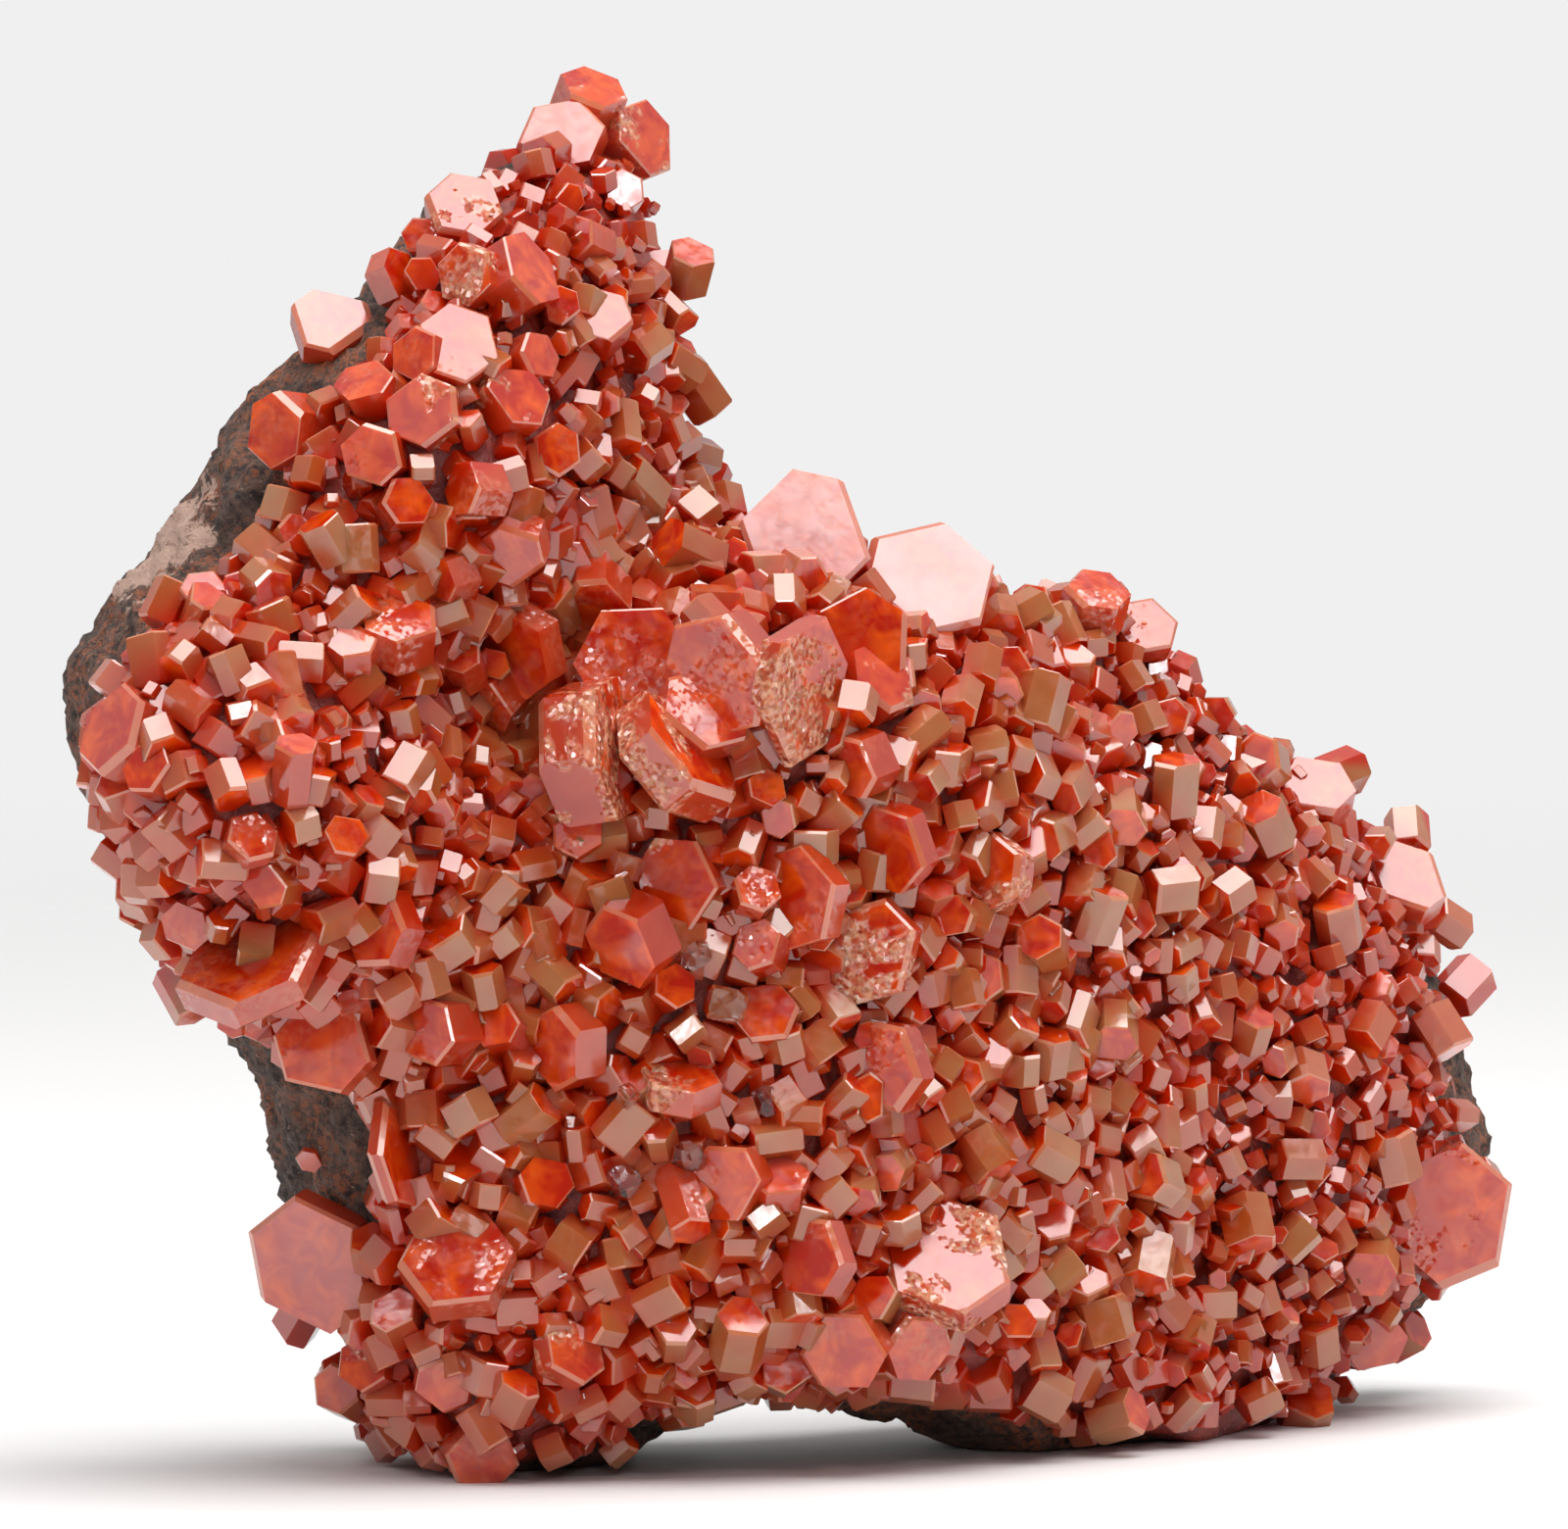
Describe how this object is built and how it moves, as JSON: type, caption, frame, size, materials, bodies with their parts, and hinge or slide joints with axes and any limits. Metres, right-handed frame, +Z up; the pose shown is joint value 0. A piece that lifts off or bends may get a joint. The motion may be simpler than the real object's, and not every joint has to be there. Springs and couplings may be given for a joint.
{
  "type": "vanadinite specimen",
  "caption": "Hexagonal vanadinite crystals grown together as a crust over the face of an upright slab of dark rock, which stands on its own worn feet.",
  "frame": {"origin": "centre of the bounding box in X and Y, on the surface that the specimen stands on", "axes": "+X to the right as seen from the crystal face, +Y from the crystal face into the rock, +Z up"},
  "size_m": [0.0424, 0.038, 0.0401],
  "materials": {
    "rock": "rough, dark red-brown, with rusty and pinkish blotches",
    "vanadinite": "resinous to glassy, orange-red end faces and caramel side faces",
    "lone_plate": "glassy, with a pale pink glint"
  },
  "bodies": {
    "root": {"matrix_rock": "rock", "vanadinite_crust": "vanadinite", "lone_plate": "lone_plate"}
  },
  "joints": []
}
